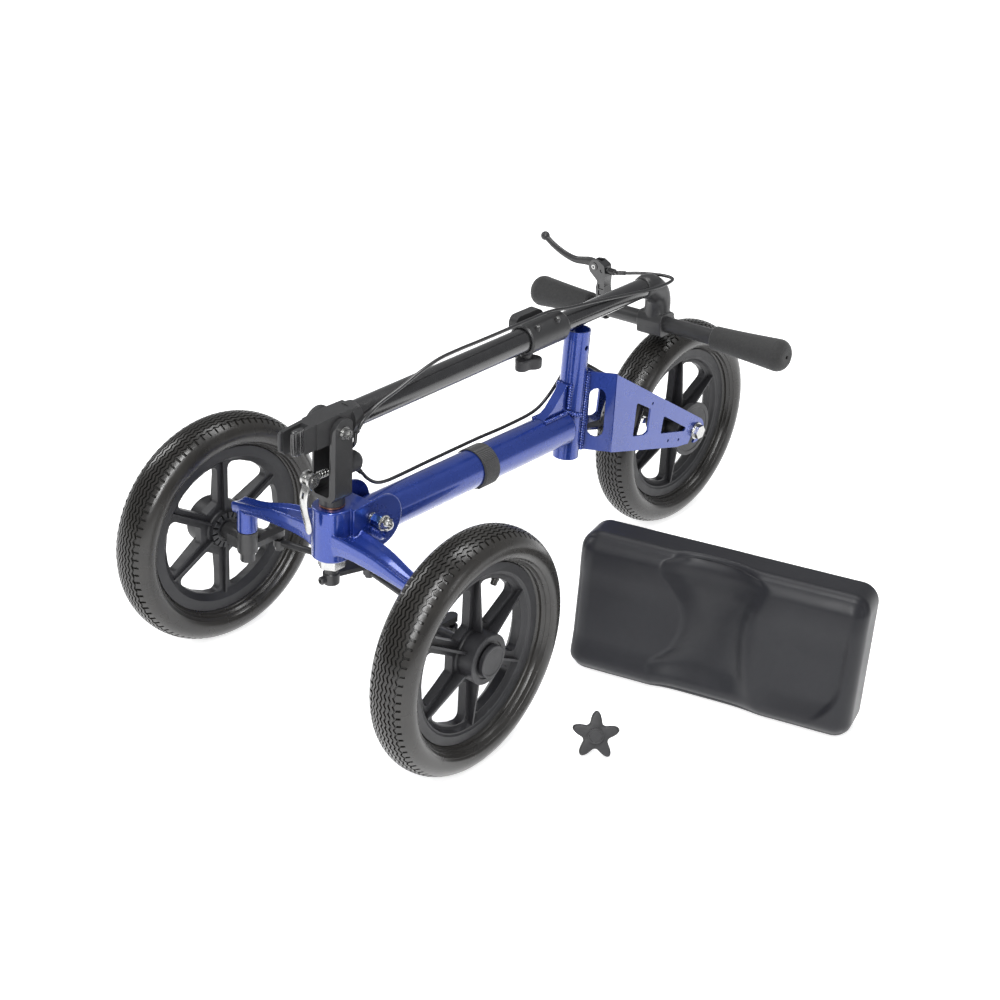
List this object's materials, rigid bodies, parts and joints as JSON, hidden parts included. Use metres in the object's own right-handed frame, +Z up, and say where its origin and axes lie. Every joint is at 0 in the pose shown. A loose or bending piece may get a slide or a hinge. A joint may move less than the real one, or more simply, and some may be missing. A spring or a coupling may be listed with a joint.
{
  "type": "knee walker",
  "caption": "Steerable folding knee walker on three spoked wheels, its braked handlebar folded down, with the knee pad and the star knob that fixes it lying beside it.",
  "frame": {"origin": "bottom centre of the whole model's box, on the floor", "axes": "+Z up, -Y towards the steered front wheels, +X to the rider's left"},
  "size_m": [0.7667, 0.982, 0.4099],
  "materials": {
    "frame_blue": "metallic blue gloss paint",
    "black_gloss_paint": "gloss black paint",
    "black_satin_paint": "satin black paint",
    "black_plastic": "moulded black",
    "rim_plastic": "moulded dark grey",
    "tyre_rubber": "matte black",
    "grip_foam": "fine grained black",
    "zinc_steel": "zinc plated",
    "head_ring_copper": "polished",
    "strap_webbing": "woven black",
    "cable_skin": "smooth black",
    "pad_skin": "smooth black upholstery"
  },
  "bodies": {
    "frame": {"head_casting": "frame_blue", "head_ring": "head_ring_copper", "cheek_bolt": "zinc_steel", "cheek_bush": "black_plastic", "main_tube": "frame_blue", "seat_tube": "frame_blue", "seat_gusset": "frame_blue", "frame_strap": "strap_webbing", "fork_plate_left": "frame_blue", "fork_plate_right": "frame_blue", "rear_axle": "zinc_steel", "axle_spacer": "zinc_steel", "brake_backplate": "black_satin_paint", "cable_stop": "head_ring_copper", "brake_cable_lower": "cable_skin"},
    "steering": {"clevis": "black_satin_paint", "stem_nut": "zinc_steel", "pitman_arm": "black_satin_paint", "fold_bolt": "zinc_steel", "release_rod": "zinc_steel", "release_spring": "zinc_steel", "brake_cable_middle": "cable_skin"},
    "fold_knob": {"fold_knob": "black_plastic"},
    "release_nut": {"release_nut": "black_plastic"},
    "release_lever": {"release_lever": "zinc_steel"},
    "tie_rod_left": {"tie_rod_left": "black_satin_paint"},
    "tie_rod_right": {"tie_rod_right": "black_satin_paint"},
    "knuckle_left": {"knuckle_left": "black_satin_paint"},
    "knuckle_right": {"knuckle_right": "black_satin_paint"},
    "wheel_left": {"tyre_front_left": "tyre_rubber", "rim_front_left": "rim_plastic", "hub_cap_left": "black_plastic"},
    "wheel_right": {"tyre_front_right": "tyre_rubber", "rim_front_right": "rim_plastic", "hub_cap_right": "black_plastic"},
    "rear_wheel": {"tyre_rear": "tyre_rubber", "rim_rear": "rim_plastic", "brake_drum": "black_satin_paint"},
    "brake_arm": {"brake_arm": "zinc_steel"},
    "column": {"hinge_block": "black_satin_paint", "block_pad": "black_plastic", "block_bumper": "black_plastic", "lower_tube": "black_gloss_paint", "tube_collar": "black_satin_paint"},
    "collar_knob": {"collar_knob": "black_plastic"},
    "upper_column": {"upper_tube": "black_gloss_paint", "stem_head": "black_satin_paint", "clamp_bolt_near": "zinc_steel", "clamp_bolt_far": "zinc_steel", "handlebar": "black_satin_paint", "grip_left": "grip_foam", "grip_right": "grip_foam", "brake_bracket": "black_satin_paint", "brake_cable_upper": "cable_skin"},
    "brake_lever": {"brake_lever": "black_satin_paint"},
    "knee_pad": {"knee_pad": "pad_skin", "pad_base": "black_plastic"},
    "star_knob": {"star_knob": "black_plastic", "star_knob_stud": "zinc_steel"}
  },
  "joints": [
    {"name": "steering_turn", "type": "hinge", "parent": "frame", "child": "steering", "pos_m": [-0.1361, -0.3516, 0.232], "axis": [0, 0, 1], "range_deg": [-11, 20]},
    {"name": "knuckle_left_turn", "type": "hinge", "parent": "frame", "child": "knuckle_left", "pos_m": [0.0109, -0.3516, 0.19], "axis": [0, 0, 1], "range_deg": [-21, 21]},
    {"name": "knuckle_right_turn", "type": "hinge", "parent": "frame", "child": "knuckle_right", "pos_m": [-0.2831, -0.3516, 0.19], "axis": [0, 0, 1], "range_deg": [-21, 21]},
    {"name": "tie_rod_left_turn", "type": "hinge", "parent": "steering", "child": "tie_rod_left", "pos_m": [-0.1251, -0.2976, 0.16], "axis": [0, 0, 1], "range_deg": [-23, 23]},
    {"name": "tie_rod_right_turn", "type": "hinge", "parent": "steering", "child": "tie_rod_right", "pos_m": [-0.1471, -0.2976, 0.16], "axis": [0, 0, 1], "range_deg": [-23, 23]},
    {"name": "wheel_left_spin", "type": "hinge", "parent": "knuckle_left", "child": "wheel_left", "pos_m": [0.0739, -0.3396, 0.1524], "axis": [0.9988, 0.048, 0], "continuous": true},
    {"name": "wheel_right_spin", "type": "hinge", "parent": "knuckle_right", "child": "wheel_right", "pos_m": [-0.3461, -0.3396, 0.1524], "axis": [0.9988, -0.048, 0], "continuous": true},
    {"name": "rear_wheel_spin", "type": "hinge", "parent": "frame", "child": "rear_wheel", "pos_m": [-0.1361, 0.3394, 0.1524], "axis": [1, 0, 0], "continuous": true},
    {"name": "column_fold", "type": "hinge", "parent": "steering", "child": "column", "pos_m": [-0.1361, -0.3516, 0.366], "axis": [1, 0, 0], "range_deg": [0, 88]},
    {"name": "fold_knob_turn", "type": "hinge", "parent": "steering", "child": "fold_knob", "pos_m": [-0.1611, -0.3516, 0.366], "axis": [1, 0, 0], "range_deg": [-180, 180]},
    {"name": "release_nut_turn", "type": "hinge", "parent": "steering", "child": "release_nut", "pos_m": [-0.1361, -0.3216, 0.312], "axis": [0, 1, 0], "range_deg": [-180, 180]},
    {"name": "release_lever_swing", "type": "hinge", "parent": "steering", "child": "release_lever", "pos_m": [-0.1361, -0.3876, 0.312], "axis": [-1, 0, 0], "range_deg": [0, 110]},
    {"name": "height_slide", "type": "slide", "parent": "column", "child": "upper_column", "axis": [0, 0.9998, 0.0203], "range_m": [0, 0.15]},
    {"name": "collar_knob_turn", "type": "hinge", "parent": "column", "child": "collar_knob", "pos_m": [-0.1361, -0.00306, 0.34307], "axis": [0, -0.0203, 0.9998], "range_deg": [-180, 180]},
    {"name": "brake_lever_pull", "type": "hinge", "parent": "upper_column", "child": "brake_lever", "pos_m": [-0.24264, 0.27802, 0.37706], "axis": [0, -0.9998, -0.0203], "range_deg": [0, 20], "stiffness_Nm_per_rad": 0.6, "springref_deg": -11.46},
    {"name": "brake_arm_pull", "type": "hinge", "parent": "frame", "child": "brake_arm", "pos_m": [-0.0961, 0.3124, 0.172], "axis": [1, 0, 0], "range_deg": [0, 10.1]},
    {"name": "knee_pad_lift", "type": "slide", "parent": "frame", "child": "knee_pad", "axis": [0, 0, 1], "range_m": [0, 0.3]},
    {"name": "star_knob_lift", "type": "slide", "parent": "frame", "child": "star_knob", "axis": [0, 0, 1], "range_m": [0, 0.3]}
  ],
  "couplings": [
    {"joint": "knuckle_left_turn", "follows": "steering_turn", "ratio": 1},
    {"joint": "knuckle_right_turn", "follows": "steering_turn", "ratio": 1},
    {"joint": "tie_rod_left_turn", "follows": "steering_turn", "ratio": -1.08},
    {"joint": "tie_rod_right_turn", "follows": "steering_turn", "ratio": -1.08},
    {"joint": "brake_arm_pull", "follows": "brake_lever_pull", "ratio": 0.5}
  ]
}
